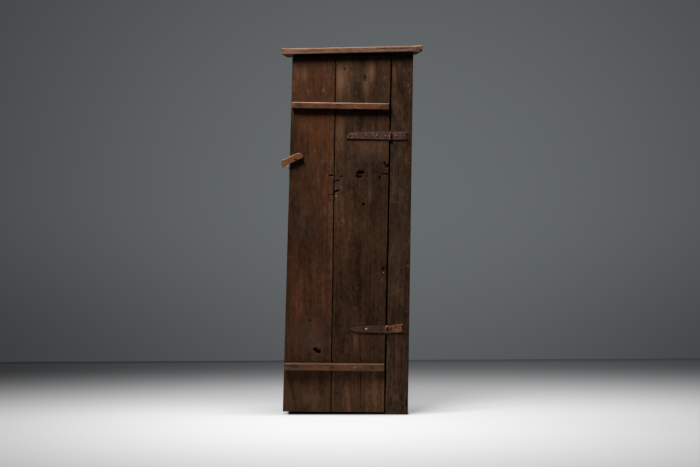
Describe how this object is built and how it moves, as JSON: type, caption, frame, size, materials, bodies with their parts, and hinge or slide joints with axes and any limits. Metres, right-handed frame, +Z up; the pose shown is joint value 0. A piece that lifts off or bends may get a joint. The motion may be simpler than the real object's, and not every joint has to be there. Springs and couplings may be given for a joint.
{
  "type": "bonnetiere cabinet",
  "caption": "Tall rustic plank cupboard with a leaning plank door on forged strap hinges, a wooden turn button, a flat overhanging top and shelves inside.",
  "frame": {"origin": "on the floor under the middle of the overall box", "axes": "+Z up, +X to the right seen from the front, -Y towards the person who opens the door"},
  "size_m": [0.6248, 0.51, 1.6574],
  "materials": {
    "door_left_wood": "worn waxed reddish brown",
    "door_right_wood": "worn waxed dark grey-brown",
    "stile_wood": "worn dark grey-brown",
    "batten_wood": "worn orange-brown",
    "top_wood": "worn mid brown",
    "side_wood": "worn dark brown",
    "back_wood": "rough sawn, unfinished",
    "inner_wood": "plain, unfinished",
    "button_wood": "handled orange-brown",
    "hinge_iron": "forged, dark brown patina",
    "rusty_iron": "forged, rust brown",
    "nail_iron": "forged, worn"
  },
  "bodies": {
    "carcass": {"left_side_front_board": "side_wood", "left_side_rear_board": "side_wood", "right_side_front_board": "side_wood", "right_side_rear_board": "side_wood", "front_stile": "stile_wood", "top_front_board": "top_wood", "top_rear_board": "top_wood", "back_left_board": "back_wood", "back_middle_board": "back_wood", "back_right_board": "back_wood", "top_front_rail": "inner_wood", "bottom_front_rail": "inner_wood", "bottom_front_board": "inner_wood", "bottom_rear_board": "inner_wood", "bottom_left_cleat": "inner_wood", "bottom_right_cleat": "inner_wood", "lower_shelf_front_board": "inner_wood", "lower_shelf_rear_board": "inner_wood", "lower_left_cleat": "inner_wood", "lower_right_cleat": "inner_wood", "middle_shelf_front_board": "inner_wood", "middle_shelf_rear_board": "inner_wood", "middle_left_cleat": "inner_wood", "middle_right_cleat": "inner_wood", "upper_shelf_front_board": "inner_wood", "upper_shelf_rear_board": "inner_wood", "upper_left_cleat": "inner_wood", "upper_right_cleat": "inner_wood", "upper_hinge_stile_leaf": "hinge_iron", "lower_hinge_stile_leaf": "rusty_iron", "upper_hinge_pin": "hinge_iron", "lower_hinge_pin": "rusty_iron", "latch_keeper": "nail_iron", "stile_nails": "nail_iron", "top_nails": "nail_iron", "back_nails": "nail_iron", "left_side_nails": "nail_iron", "right_side_nails": "nail_iron", "stile_leaf_nails": "nail_iron"},
    "door": {"door_left_board": "door_left_wood", "door_right_board": "door_right_wood", "top_batten": "batten_wood", "bottom_batten": "batten_wood", "upper_hinge_strap": "hinge_iron", "lower_hinge_strap": "hinge_iron", "batten_nails": "nail_iron", "strap_nails": "nail_iron", "button_pivot_nail": "nail_iron"},
    "turn_button": {"turn_button": "button_wood"}
  },
  "joints": [
    {"name": "door_swing", "type": "hinge", "parent": "carcass", "child": "door", "pos_m": [0.15917, -0.23405, 0.395], "axis": [0.0164, 0, 0.9999], "range_deg": [0, 110]},
    {"name": "button_turn", "type": "hinge", "parent": "door", "child": "turn_button", "pos_m": [-0.24515, -0.236, 1.157], "axis": [0, 1, 0], "range_deg": [-11, 115]}
  ]
}
